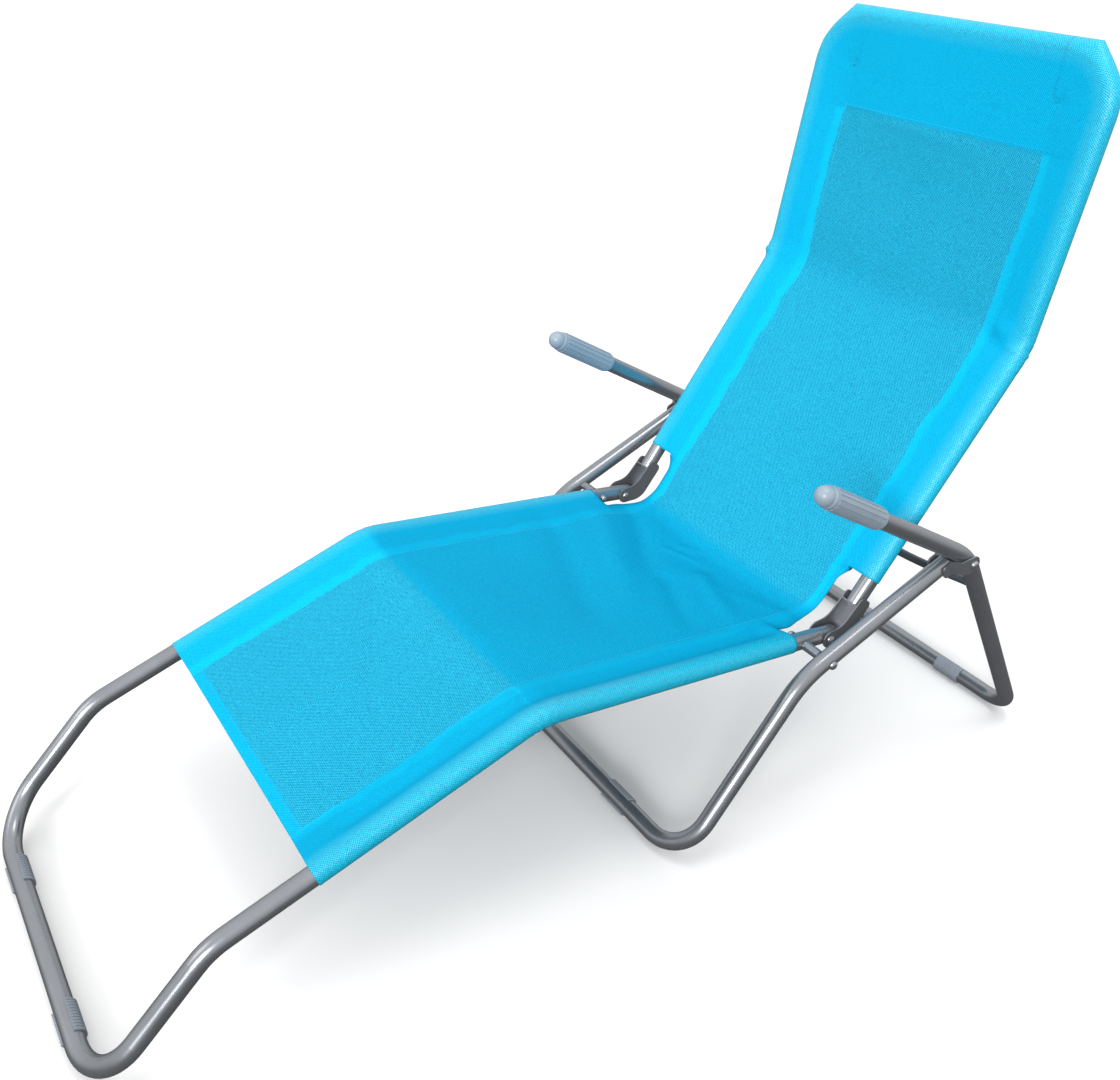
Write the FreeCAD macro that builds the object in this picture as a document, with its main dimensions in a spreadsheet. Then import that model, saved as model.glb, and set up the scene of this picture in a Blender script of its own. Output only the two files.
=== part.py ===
import FreeCAD, Part
import math
import os
import Sketcher
from FreeCAD import Placement, Rotation, Vector

# Folding sun lounger with a tilting bed.
#
# A U-shaped front frame and a rear frame, whose tubes run up into the armrests, make an A-shaped
# stand. The bed hangs inside it on one axle bolt a side: a seat and leg frame, and a back frame
# that is hinged to it. A mesh sling is pulled over both. Millimetres, +Z up, the sitter faces -Y,
# +X is the sitter's left. The origin is on the floor, in the middle of the footprint.

os.makedirs("parts", exist_ok=True)
doc = FreeCAD.newDocument("sun_lounger")

# ---------------------------------------------------------------- driving dimensions
DIMENSIONS = {
    # tube
    "tube_radius": 12.5, "tube_bore_radius": 11.3,
    "bar_height": 15.2,
    # half widths, from the middle plane to the tube's centreline
    "bed_half_width": 241.0, "stand_half_width": 294.0,
    "rear_half_width": 303.0, "arm_tip_half_width": 292.0,
    # seat and leg frame
    "foot_bar_pos": -737.1, "foot_bend_pos": -594.0, "foot_bend_height": 167.0,
    "knee_pos": -174.0, "knee_height": 321.0, "seat_end_pos": 316.0,
    "foot_corner_radius": 76.0, "foot_bend_radius": 92.0, "knee_bend_radius": 110.0,
    # back frame
    "back_end_height": 312.0, "kink_pos": 584.0, "kink_height": 653.0,
    "head_pos": 631.0, "head_height": 1015.0,
    "kink_bend_radius": 90.0, "head_corner_radius": 72.0,
    # front frame of the stand
    "front_bar_pos": 38.5, "strut_bend_pos": 212.6, "strut_bend_height": 264.7,
    "strut_top_pos": 459.0, "front_corner_radius": 66.0, "strut_bend_radius": 125.0,
    # rear frame and armrests
    "rear_bar_pos": 737.0, "arm_bend_pos": 495.4, "arm_bend_height": 381.5,
    "arm_tip_pos": 191.3, "arm_tip_height": 547.6,
    "rear_corner_radius": 48.0, "arm_bend_radius": 135.0,
    "cross_tube_radius": 6.2, "cross_tube_pos": 527.5, "cross_tube_height": 326.0, "cross_tube_drop": 20.0,
    "cross_tube_bow_radius": 700.0,
    # joint axes
    "axle_pos": 254.0, "axle_height": 281.5,
    "hinge_pos": 301.0, "hinge_height": 276.0,
    "pivot_pos": 494.0, "pivot_height": 376.0,
    "shank_radius": 4.0, "running_hole_radius": 4.06,
    # fittings
    "spacer_radius": 7.0, "head_radius": 6.5, "head_rise": 3.6,
    "nut_rise": 7.5, "nut_thread_depth": 4.0,
    "cheek_thickness": 2.0, "channel_gap": 26.8, "web_thickness": 2.0, "lobe_radius": 12.5,
    "channel_socket_depth": 13.0, "channel_top_radius": 8.5, "channel_back_reach": 34.0,
    "channel_front_reach": 20.0,
    "channel_waist_radius": 20.0, "channel_belly_radius": 30.0, "channel_inner_radius": 26.0,
    "fork_thickness": 2.5, "fork_lobe_radius": 10.5, "fork_inner_face": 289.0, "fork_outer_face": 316.2,
    "fork_tail": 16.0, "fork_end_plate": 2.0, "fork_jog": 9.0,
    "fork_tail_corner_radius": 6.0, "fork_neck_radius": 12.0,
    # plastic pieces
    "clip_length": 48.0, "clip_bore_radius": 12.6, "clip_wall_radius": 14.5, "clip_rib_radius": 15.2,
    "clip_rib_width": 2.2, "clip_rib_count": 11, "clip_opening": 112.0,
    "foot_clip_offset": 131.0, "front_clip_offset": 148.0, "rear_clip_offset": 179.0,
    "grip_length": 136.0, "grip_bore_radius": 12.6, "grip_radius": 14.9, "grip_rib_height": 1.0,
    "grip_rib_width": 5.6, "grip_rib_count": 14, "grip_dome_radius": 13.6, "grip_cap": 18.0,
    "grip_collar_width": 3.0, "grip_rim_taper": 1.6, "grip_rib_setback": 7.0,
    # sling
    "sleeve_bore_radius": 12.7, "sleeve_radius": 13.9, "sheet_thickness": 1.4,
    "sling_foot_pos": -469.0, "seat_sleeve_end_pos": 236.0, "seat_sheet_end_pos": 294.0,
    "back_sleeve_start": 40.0, "back_sheet_start": -24.0, "notch_depth": 42.0,
}

sheet = doc.addObject("Spreadsheet::Sheet", "sizes")
for row, (alias, value) in enumerate(DIMENSIONS.items(), start=1):
    sheet.set("A%d" % row, alias)
    sheet.set("B%d" % row, str(value))
    sheet.setAlias("B%d" % row, alias)
doc.recompute()


def size(alias):
    """The value that a cell of the sheet holds."""
    return float(sheet.get(alias))


def bind(target, attribute, expression):
    """Bind one property of an object, or one constraint of a sketch, to the sheet."""
    target.setExpression(attribute, expression)


SIDES = {"left": 1, "right": -1}
CLEAR = 0.3
OVERCUT = 20.0
SHOULDER_OUT, SHOULDER_UP = 0.72, 0.82
INNER_HEAD_SHARE, NUT_SHARE, NUT_RIM_SHARE, NUT_SHOULDER_UP = 0.92, 0.96, 0.42, 0.84
OUTER_RIM, INNER_RIM = 0.8, 0.6
INNER_RISE_SHARE = 0.8
LOBE_EASE = 0.2
BOW_REACH, BOW_DEPTH = 0.62, 0.85
CREST_SHARE = 0.8
X_AXIS = Vector(1, 0, 0)
finished = {}


def keep(label, feature):
    """Name a finished sub-part: its label is its file's name."""
    feature.Label = label
    finished[label] = feature


# ---------------------------------------------------------------- outlines and paths
def corner_arc(before, at, after, radius):
    """The arc that rounds one corner of an outline, as its start, middle and end."""
    to_before = (before - at).normalize()
    to_after = (after - at).normalize()
    half_angle = to_before.getAngle(to_after) / 2
    reach = radius / math.tan(half_angle)
    bisector = (to_before + to_after).normalize()
    middle = at + bisector * (radius / math.sin(half_angle) - radius)
    return at + to_before * reach, middle, at + to_after * reach


def rounded_edges(points, radii, closed=False):
    """Straight runs joined by tangent arcs; radii has one entry for each corner, 0 for a sharp one."""
    count = len(points)
    corners = range(count) if closed else range(1, count - 1)
    ends = {index: (points[index], points[index]) for index in range(count)}
    arcs = {}
    for index, radius in zip(corners, radii):
        if radius:
            arc = corner_arc(points[index - 1], points[index], points[(index + 1) % count], radius)
            arcs[index] = Part.Arc(*arc)
            ends[index] = (arc[0], arc[2])
    edges = []
    for index in range(count):
        if index in arcs:
            edges.append(arcs[index])
        following = (index + 1) % count
        if closed or following:
            edges.append(Part.LineSegment(ends[index][1], ends[following][0]))
    return edges


def wire_of(points, radii, closed=False):
    return Part.Wire([edge.toShape() for edge in rounded_edges(points, radii, closed)])


def mirrored_run(side_run):
    """A run of (x, y, z) points down the left side, across, and back up the right side."""
    left = [Vector(*point) for point in side_run]
    right = [Vector(-point.x, point.y, point.z) for point in reversed(left)]
    return left + right


def point_on(start, end, height=None, pos=None):
    """The (y, z) point of a straight run at one height or at one y."""
    run, rise = end[0] - start[0], end[1] - start[1]
    share = (height - start[1]) / rise if pos is None else (pos - start[0]) / run
    return start[0] + share * run, start[1] + share * rise


def point_along(start, end, distance):
    """The (y, z) point that lies a distance from start towards end."""
    share = distance / math.dist(start, end)
    return start[0] + (end[0] - start[0]) * share, start[1] + (end[1] - start[1]) * share


# ---------------------------------------------------------------- swept round stock
def swept_rod(name, points, radii, radius_cell):
    """A round rod of one radius along a path."""
    spine = doc.addObject("Part::Feature", name + "_spine")
    spine.Shape = wire_of(points, radii)
    profile = doc.addObject("Part::Circle", name + "_profile")
    profile.Placement = Placement(points[0], Rotation(Vector(0, 0, 1), points[1] - points[0]))
    bind(profile, "Radius", "sizes." + radius_cell)
    rod = doc.addObject("Part::Sweep", name)
    rod.Sections = [profile]
    rod.Spine = (spine, ["Edge%d" % (index + 1) for index in range(len(spine.Shape.Edges))])
    rod.Solid = True
    return rod


def cross_pin(name, pos, height, radius_cell):
    """A round bar right across the chair, parallel to the joint axes, used to drill holes."""
    pin = doc.addObject("Part::Cylinder", name)
    bind(pin, "Radius", "sizes." + radius_cell)
    bind(pin, "Height", "2 * sizes.rear_half_width + %g" % (4 * OVERCUT))
    start = Vector(-size("rear_half_width") - 2 * OVERCUT, pos, height)
    pin.Placement = Placement(start, Rotation(Vector(0, 0, 1), X_AXIS))
    return pin


def cut(name, base, tool):
    result = doc.addObject("Part::Cut", name)
    result.Base = base
    result.Tool = tool
    return result


def bent_tube(label, side_run, radii, holes=()):
    """A hollow tube bent to one mirrored run, drilled across at each (pos, height)."""
    points = mirrored_run(side_run)
    corner_radii = list(radii) + list(reversed(radii))
    solid = swept_rod(label + "_outside", points, corner_radii, "tube_radius")
    bore = swept_rod(label + "_bore", points, corner_radii, "tube_bore_radius")
    tube = cut(label + "_tube", solid, bore)
    for number, (pos, height) in enumerate(holes):
        pin = cross_pin("%s_drill_%d" % (label, number), pos, height, "running_hole_radius")
        tube = cut("%s_drilled_%d" % (label, number), tube, pin)
    keep(label, tube)
    return solid


# ---------------------------------------------------------------- points of the side view, as (y, z)
FOOT = (size("foot_bar_pos"), size("bar_height"))
FOOT_BEND = (size("foot_bend_pos"), size("foot_bend_height"))
KNEE = (size("knee_pos"), size("knee_height"))
HINGE = (size("hinge_pos"), size("hinge_height"))
AXLE = (size("axle_pos"), size("axle_height"))
PIVOT = (size("pivot_pos"), size("pivot_height"))
KINK = (size("kink_pos"), size("kink_height"))
HEAD = (size("head_pos"), size("head_height"))
FRONT = (size("front_bar_pos"), size("bar_height"))
STRUT_BEND = (size("strut_bend_pos"), size("strut_bend_height"))
REAR = (size("rear_bar_pos"), size("bar_height"))
ARM_BEND = (size("arm_bend_pos"), size("arm_bend_height"))
ARM_TIP = (size("arm_tip_pos"), size("arm_tip_height"))

STRUT_SLOPE = math.radians(24.3)
BACK_SLOPE = math.radians(56.0)

SEAT_END = point_on(KNEE, HINGE, pos=size("seat_end_pos"))
BACK_END_DROP = size("kink_height") - size("back_end_height")
BACK_END = (KINK[0] - BACK_END_DROP / math.tan(BACK_SLOPE), size("back_end_height"))
STRUT_RUN = size("strut_top_pos") - STRUT_BEND[0]
STRUT_TOP = (size("strut_top_pos"), STRUT_BEND[1] + STRUT_RUN * math.tan(STRUT_SLOPE))

BED = size("bed_half_width")
STAND = size("stand_half_width")
REAR_HALF = size("rear_half_width")

# ---------------------------------------------------------------- the four bent tubes
bent_tube(
    "seat_frame_tube",
    [(BED, *SEAT_END), (BED, *KNEE), (BED, *FOOT_BEND), (BED, *FOOT)],
    [size("knee_bend_radius"), size("foot_bend_radius"), size("foot_corner_radius")],
    holes=[AXLE, HINGE],
)
bent_tube(
    "back_frame_tube",
    [(BED, *BACK_END), (BED, *KINK), (BED, *HEAD)],
    [size("kink_bend_radius"), size("head_corner_radius")],
)
bent_tube(
    "front_base_tube",
    [(STAND, *STRUT_TOP), (STAND, *STRUT_BEND), (STAND, *FRONT)],
    [size("strut_bend_radius"), size("front_corner_radius")],
    holes=[AXLE],
)
rear_outside = bent_tube(
    "rear_leg_arm_tube",
    [(size("arm_tip_half_width"), *ARM_TIP), (REAR_HALF, *ARM_BEND), (REAR_HALF, *REAR)],
    [size("arm_bend_radius"), size("rear_corner_radius")],
    holes=[PIVOT],
)


# ---------------------------------------------------------------- rear cross tube
def cross_tube():
    """A thin tube bowed down in its middle, whose ends are cut to sit on the rear legs."""
    pos, height, drop = size("cross_tube_pos"), size("cross_tube_height"), size("cross_tube_drop")
    points = [
        Vector(REAR_HALF, pos, height),
        Vector(REAR_HALF * BOW_REACH, pos, height - drop * BOW_DEPTH),
        Vector(-REAR_HALF * BOW_REACH, pos, height - drop * BOW_DEPTH),
        Vector(-REAR_HALF, pos, height),
    ]
    bow_radius = size("cross_tube_bow_radius")
    rod = swept_rod("cross_rod", points, [bow_radius, bow_radius], "cross_tube_radius")
    keep("rear_cross_tube", cut("cross_rod_fitted", rod, rear_outside))


cross_tube()


# ---------------------------------------------------------------- bodies with sketches
def new_body(name, placement=None):
    body = doc.addObject("PartDesign::Body", name)
    if placement is not None:
        body.Placement = placement
    return body


def new_sketch(body, role, name):
    """A sketch on one of the body's own origin planes."""
    plane = [feature for feature in body.Origin.OriginFeatures if feature.Role == role][0]
    sketch = body.newObject("Sketcher::SketchObject", name)
    sketch.AttachmentSupport = [(plane, "")]
    sketch.MapMode = "FlatFace"
    return sketch


def add_outline(sketch, points, radii=None):
    """A closed outline of (u, v) points, with rounded corners where radii says so."""
    corners = [Vector(u, v, 0) for u, v in points]
    edges = rounded_edges(corners, radii or [0] * len(corners), closed=True)
    sketch.addGeometry([edge for edge in edges if edge.length() > 1e-6], False)


def add_circle(sketch, centre, radius_cell):
    """A circle whose radius is bound to the sheet."""
    circle = Part.Circle(Vector(centre[0], centre[1], 0), Vector(0, 0, 1), size(radius_cell))
    index = sketch.addGeometry(circle, False)
    constraint = sketch.addConstraint(Sketcher.Constraint("Radius", index, size(radius_cell)))
    bind(sketch, "Constraints[%d]" % constraint, "sizes." + radius_cell)


def pad(body, sketch, length_expression, name, both_ways=True):
    feature = body.newObject("PartDesign::Pad", name)
    feature.Profile = sketch
    feature.SideType = "Symmetric" if both_ways else "One side"
    bind(feature, "Length", length_expression)
    return feature


def pocket(body, sketch, length_expression, name):
    feature = body.newObject("PartDesign::Pocket", name)
    feature.Profile = sketch
    feature.SideType = "Symmetric"
    bind(feature, "Length", length_expression)
    return feature


def revolve(body, sketch, name):
    """A full turn of the sketch about the body's Z axis."""
    feature = body.newObject("PartDesign::Revolution", name)
    feature.Profile = sketch
    feature.ReferenceAxis = (sketch, ["V_Axis"])
    feature.Angle = 360
    return feature


def along_x(x, pos, height, side):
    """A placement whose Z axis points away from the middle plane."""
    return Placement(Vector(side * x, pos, height), Rotation(Vector(0, 0, 1), Vector(side, 0, 0)))


# ---------------------------------------------------------------- rivets, bolts, nuts, spacers
def domed_profile(sketch, start, rise, radius, shank_radius, shank_end):
    """Half of a domed head that stands on z = start, with a shank down to shank_end."""
    crown = Vector(0, start + rise, 0)
    rim = Vector(radius, start + OUTER_RIM, 0)
    shoulder = Vector(radius * SHOULDER_OUT, start + rise * SHOULDER_UP, 0)
    foot = Vector(radius, start, 0)
    neck = Vector(shank_radius, start, 0)
    tip = Vector(shank_radius, shank_end, 0)
    axis = Vector(0, shank_end, 0)
    sketch.addGeometry(Part.Arc(crown, shoulder, rim), False)
    for a, b in [(rim, foot), (foot, neck), (neck, tip), (tip, axis), (axis, crown)]:
        sketch.addGeometry(Part.LineSegment(a, b), False)


def domed_pin(label, side, centre, inner_x, outer_x, inner_rise=None):
    """A pin with a domed head at its outer end, and one at its inner end when a rise is given."""
    body = new_body(label + "_body", along_x(0, *centre, side))
    sketch = new_sketch(body, "XZ_Plane", label + "_profile")
    domed_profile(sketch, outer_x, size("head_rise"), size("head_radius"), size("shank_radius"), inner_x)
    revolve(body, sketch, label + "_turned")
    if inner_rise:
        head = new_sketch(body, "XZ_Plane", label + "_tail_profile")
        radius = size("head_radius") * INNER_HEAD_SHARE
        crown = Vector(0, inner_x - inner_rise, 0)
        shoulder = Vector(radius * SHOULDER_OUT, inner_x - inner_rise * SHOULDER_UP, 0)
        rim = Vector(radius, inner_x - INNER_RIM, 0)
        head.addGeometry(Part.Arc(crown, shoulder, rim), False)
        for a, b in [(rim, Vector(radius, inner_x, 0)), (Vector(radius, inner_x, 0), Vector(0, inner_x, 0)),
                     (Vector(0, inner_x, 0), crown)]:
            head.addGeometry(Part.LineSegment(a, b), False)
        revolve(body, head, label + "_tail")
    keep(label, body)


def turned_ring(label, side, centre, start_x, length, radius_cell):
    """A plain sleeve on a pin, from start_x outwards."""
    body = new_body(label + "_body", along_x(start_x, *centre, side))
    sketch = new_sketch(body, "XY_Plane", label + "_rings")
    add_circle(sketch, (0, 0), radius_cell)
    add_circle(sketch, (0, 0), "shank_radius")
    feature = pad(body, sketch, "1", label + "_pad", both_ways=False)
    bind(feature, "Length", "%s" % length)
    return body


def cap_nut(label, side, centre, face_x):
    """A domed nut that is screwed on the axle bolt's inner end; it points to the middle plane."""
    body = new_body(label + "_body", along_x(0, *centre, side))
    sketch = new_sketch(body, "XZ_Plane", label + "_profile")
    radius, rise = size("head_radius") * NUT_SHARE, size("nut_rise")
    bore, depth = size("shank_radius"), size("nut_thread_depth")
    crown, rim = Vector(0, face_x - rise, 0), Vector(radius, face_x - rise * NUT_RIM_SHARE, 0)
    shoulder = Vector(radius * SHOULDER_OUT, face_x - rise * NUT_SHOULDER_UP, 0)
    corners = [rim, Vector(radius, face_x, 0), Vector(bore, face_x, 0), Vector(bore, face_x - depth, 0),
               Vector(0, face_x - depth, 0), crown]
    sketch.addGeometry(Part.Arc(crown, shoulder, rim), False)
    for a, b in zip(corners, corners[1:]):
        sketch.addGeometry(Part.LineSegment(a, b), False)
    revolve(body, sketch, label + "_turned")
    keep(label, body)


TUBE = size("tube_radius")
bed_outer, bed_inner = BED + TUBE, BED - TUBE
inner_rise = size("head_rise") * INNER_RISE_SHARE
strut_outer, strut_inner = STAND + TUBE, STAND - TUBE
for side_name, side in SIDES.items():
    cap_nut("axle_nut_" + side_name, side, AXLE, bed_inner - CLEAR)
    bolt_end = bed_inner - CLEAR - size("nut_thread_depth")
    domed_pin("axle_bolt_" + side_name, side, AXLE, bolt_end, strut_outer + CLEAR)
    spacer_start = bed_outer + CLEAR
    spacer_length = strut_inner - CLEAR - spacer_start
    spacer_name = "axle_spacer_" + side_name
    keep(spacer_name, turned_ring(spacer_name, side, AXLE, spacer_start, spacer_length, "spacer_radius"))
    cheek = size("channel_gap") / 2 + size("cheek_thickness")
    domed_pin("hinge_rivet_" + side_name, side, HINGE, BED - cheek, BED + cheek, inner_rise)
    fork = size("fork_thickness")
    domed_pin("pivot_rivet_" + side_name, side, PIVOT, size("fork_inner_face") - fork,
              size("fork_outer_face") + fork, inner_rise)


# ---------------------------------------------------------------- hinge channels of the back frame
def hinge_channel(label, side):
    """A formed channel: two cheeks astride the seat tube's end, a web behind, a cap under the back tube."""
    lobe = size("lobe_radius")
    up = Vector(0, math.cos(BACK_SLOPE), math.sin(BACK_SLOPE))
    back = Vector(0, math.sin(BACK_SLOPE), -math.cos(BACK_SLOPE))
    end = Vector(0, *BACK_END)
    socket_depth, front_reach = size("channel_socket_depth"), size("channel_front_reach")
    waist, belly = size("channel_waist_radius"), size("channel_belly_radius")
    web = size("web_thickness")
    top_front = end + up * socket_depth - back * TUBE
    top_back = end + up * socket_depth + back * TUBE
    seam_front = end - back * TUBE
    seam_back = end + back * TUBE
    floor_pos = HINGE[0] + size("channel_back_reach")
    outline = [
        (top_back.y, top_back.z), (seam_back.y, seam_back.z), (floor_pos, HINGE[1] - lobe),
        (HINGE[0] - lobe, HINGE[1] - lobe), (HINGE[0] - lobe, HINGE[1] + lobe),
        (HINGE[0] + front_reach, HINGE[1] + lobe + 1.5 * web), (seam_front.y, seam_front.z),
        (top_front.y, top_front.z),
    ]
    body = new_body(label + "_body", Placement(Vector(side * BED, 0, 0), Rotation()))
    blank = new_sketch(body, "YZ_Plane", label + "_outline")
    top = size("channel_top_radius")
    add_outline(blank, outline, [top, waist, belly, lobe - LOBE_EASE, lobe - LOBE_EASE, belly, waist, top])
    pad(body, blank, "sizes.channel_gap + 2 * sizes.cheek_thickness", label + "_blank")

    cap = end - up * web
    inner_back = cap + back * (TUBE - web)
    inner = [
        (inner_back.y, inner_back.z), (floor_pos - 1.5 * web, HINGE[1] - lobe + web),
        (HINGE[0] + front_reach, HINGE[1] - lobe + web),
        (HINGE[0] + front_reach, HINGE[1] - lobe - OVERCUT),
        (HINGE[0] - lobe - OVERCUT, HINGE[1] - lobe - OVERCUT),
        (HINGE[0] - lobe - OVERCUT, HINGE[1] + lobe + 1.5 * OVERCUT),
        ((cap - back * (TUBE + OVERCUT)).y, (cap - back * (TUBE + OVERCUT)).z),
    ]
    slot = new_sketch(body, "YZ_Plane", label + "_slot")
    add_outline(slot, inner, [0, size("channel_inner_radius"), 0, 0, 0, 0, 0])
    pocket(body, slot, "sizes.channel_gap", label + "_slot_cut")

    socket = new_sketch(body, "YZ_Plane", label + "_socket")
    reach = TUBE + OVERCUT
    high = end + up * 2 * OVERCUT
    corners = [end + back * reach, high + back * reach, high - back * reach, end - back * reach]
    add_outline(socket, [(corner.y, corner.z) for corner in corners])
    pocket(body, socket, "sizes.channel_gap", label + "_socket_cut")

    bore = new_sketch(body, "YZ_Plane", label + "_bore")
    add_circle(bore, HINGE, "shank_radius")
    pocket(body, bore, "4 * sizes.channel_gap", label + "_bore_cut")
    keep(label, body)


# ---------------------------------------------------------------- fork on each strut's top end
def strut_fork(label, side):
    """Two straps and an end plate: they hold the rear frame's pivot rivet outside the strut's line."""
    across = Vector(side, 0, 0)
    axis = Vector(0, math.cos(STRUT_SLOPE), math.sin(STRUT_SLOPE))
    third = axis.cross(across)
    turn = Rotation(FreeCAD.Matrix(
        axis.x, across.x, third.x, 0, axis.y, across.y, third.y, 0,
        axis.z, across.z, third.z, 0, 0, 0, 0, 1))
    body = new_body(label + "_body", Placement(Vector(0, *STRUT_TOP), turn))
    to_pivot = Vector(0, PIVOT[0] - STRUT_TOP[0], PIVOT[1] - STRUT_TOP[1])
    reach, offset = to_pivot.dot(axis), to_pivot.dot(third)
    lobe = size("fork_lobe_radius")
    thick = size("fork_thickness")
    inner, outer = size("fork_inner_face"), size("fork_outer_face")
    tail, end_plate, jog = -size("fork_tail"), size("fork_end_plate"), size("fork_jog")
    far = reach + lobe + OVERCUT
    bend_ease = end_plate / 2
    straps = [
        (tail, strut_outer), (0, strut_outer), (0, strut_inner),
        (tail, strut_inner), (tail, strut_inner - thick), (end_plate, strut_inner - thick),
        (jog, inner - thick), (far, inner - thick), (far, inner), (jog - bend_ease, inner),
        (end_plate, strut_inner + end_plate), (end_plate, strut_outer), (jog, outer), (far, outer),
        (far, outer + thick), (jog - bend_ease, outer + thick),
        (-end_plate, strut_outer + thick), (tail, strut_outer + thick),
    ]
    plan = new_sketch(body, "XY_Plane", label + "_plan")
    add_outline(plan, straps)
    pad(body, plan, "8 * sizes.tube_radius", label + "_straps")

    trim = new_sketch(body, "XZ_Plane", label + "_trim")
    blank = 4 * OVERCUT
    half = TUBE - end_plate
    down = 1 if offset > 0 else -1
    profile = [
        (tail, -down * half), (end_plate, -down * half), (reach + lobe, offset - down * lobe),
        (reach + lobe, offset + down * lobe), (reach - lobe, offset + down * lobe),
        (end_plate, down * half), (tail, down * half),
    ]
    if down < 0:
        profile = list(reversed(profile))
    tail_corner, neck = size("fork_tail_corner_radius"), size("fork_neck_radius")
    radii = [tail_corner, neck, lobe - LOBE_EASE, lobe - LOBE_EASE, tail_corner, neck, tail_corner]
    if down < 0:
        radii = list(reversed(radii))
    add_outline(trim, profile, radii)
    add_outline(trim, [(-blank, -blank), (blank, -blank), (blank, blank), (-blank, blank)])
    pocket(body, trim, "4 * sizes.rear_half_width", label + "_trimmed")

    bore = new_sketch(body, "XZ_Plane", label + "_bore")
    add_circle(bore, (reach, offset), "shank_radius")
    pocket(body, bore, "4 * sizes.rear_half_width", label + "_bore_cut")
    keep(label, body)


for side_name, side in SIDES.items():
    hinge_channel("hinge_channel_" + side_name, side)
    strut_fork("strut_fork_" + side_name, side)


# ---------------------------------------------------------------- floor clips
def ring_sector(sketch, inner, outer, opening):
    """A ring that is open over an angle in degrees, centred on the sketch's +v direction."""
    start = math.radians(90 + opening / 2)
    end = math.radians(90 - opening / 2 + 360)
    points = {
        (radius, angle): Vector(radius * math.cos(angle), radius * math.sin(angle), 0)
        for radius in (inner, outer) for angle in (start, (start + end) / 2, end)
    }
    middle = (start + end) / 2
    sketch.addGeometry(Part.Arc(points[inner, start], points[inner, middle], points[inner, end]), False)
    sketch.addGeometry(Part.LineSegment(points[inner, end], points[outer, end]), False)
    sketch.addGeometry(Part.Arc(points[outer, end], points[outer, middle], points[outer, start]), False)
    sketch.addGeometry(Part.LineSegment(points[outer, start], points[inner, start]), False)


def floor_clip(label, x, bar, opening_direction):
    """A ribbed C-shaped clip snapped on a floor bar; it opens towards opening_direction, in degrees."""
    turn = Rotation(X_AXIS, opening_direction - 90)
    body = new_body(label + "_body", Placement(Vector(x, *bar), turn))
    wall = new_sketch(body, "YZ_Plane", label + "_wall")
    ring_sector(wall, size("clip_bore_radius"), size("clip_wall_radius"), size("clip_opening"))
    pad(body, wall, "sizes.clip_length", label + "_wall_pad")
    rib_sketch = new_sketch(body, "YZ_Plane", label + "_rib")
    pitch = (size("clip_length") - size("clip_rib_width")) / (size("clip_rib_count") - 1)
    first_rib = -(size("clip_length") - size("clip_rib_width")) / 2
    rib_sketch.AttachmentOffset = Placement(Vector(0, 0, first_rib), Rotation())
    rib_root = size("clip_wall_radius") - CLEAR
    ring_sector(rib_sketch, rib_root, size("clip_rib_radius"), size("clip_opening"))
    rib = pad(body, rib_sketch, "sizes.clip_rib_width", label + "_rib_pad")
    doc.recompute()
    ribs = body.newObject("PartDesign::LinearPattern", label + "_ribs")
    ribs.Originals = [rib]
    ribs.Direction = (rib_sketch, ["N_Axis"])
    ribs.Length = pitch * (size("clip_rib_count") - 1)
    ribs.Occurrences = int(size("clip_rib_count"))
    body.Tip = ribs
    keep(label, body)


def upper_normal(low, high):
    """The direction, in degrees, that a leg's upper side faces."""
    slope = math.degrees(math.atan2(high[1] - low[1], high[0] - low[0]))
    return slope + 90 if slope < 90 else slope - 90


CLIPS = {
    "foot_bar_clip": ("foot_clip_offset", FOOT, upper_normal(FOOT, FOOT_BEND)),
    "front_bar_clip": ("front_clip_offset", FRONT, upper_normal(FRONT, STRUT_BEND)),
    "rear_bar_clip": ("rear_clip_offset", REAR, upper_normal(REAR, ARM_BEND)),
}
for clip_name, (offset_cell, bar, direction) in CLIPS.items():
    for side_name, side in SIDES.items():
        floor_clip("%s_%s" % (clip_name, side_name), side * size(offset_cell), bar, direction)


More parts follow.
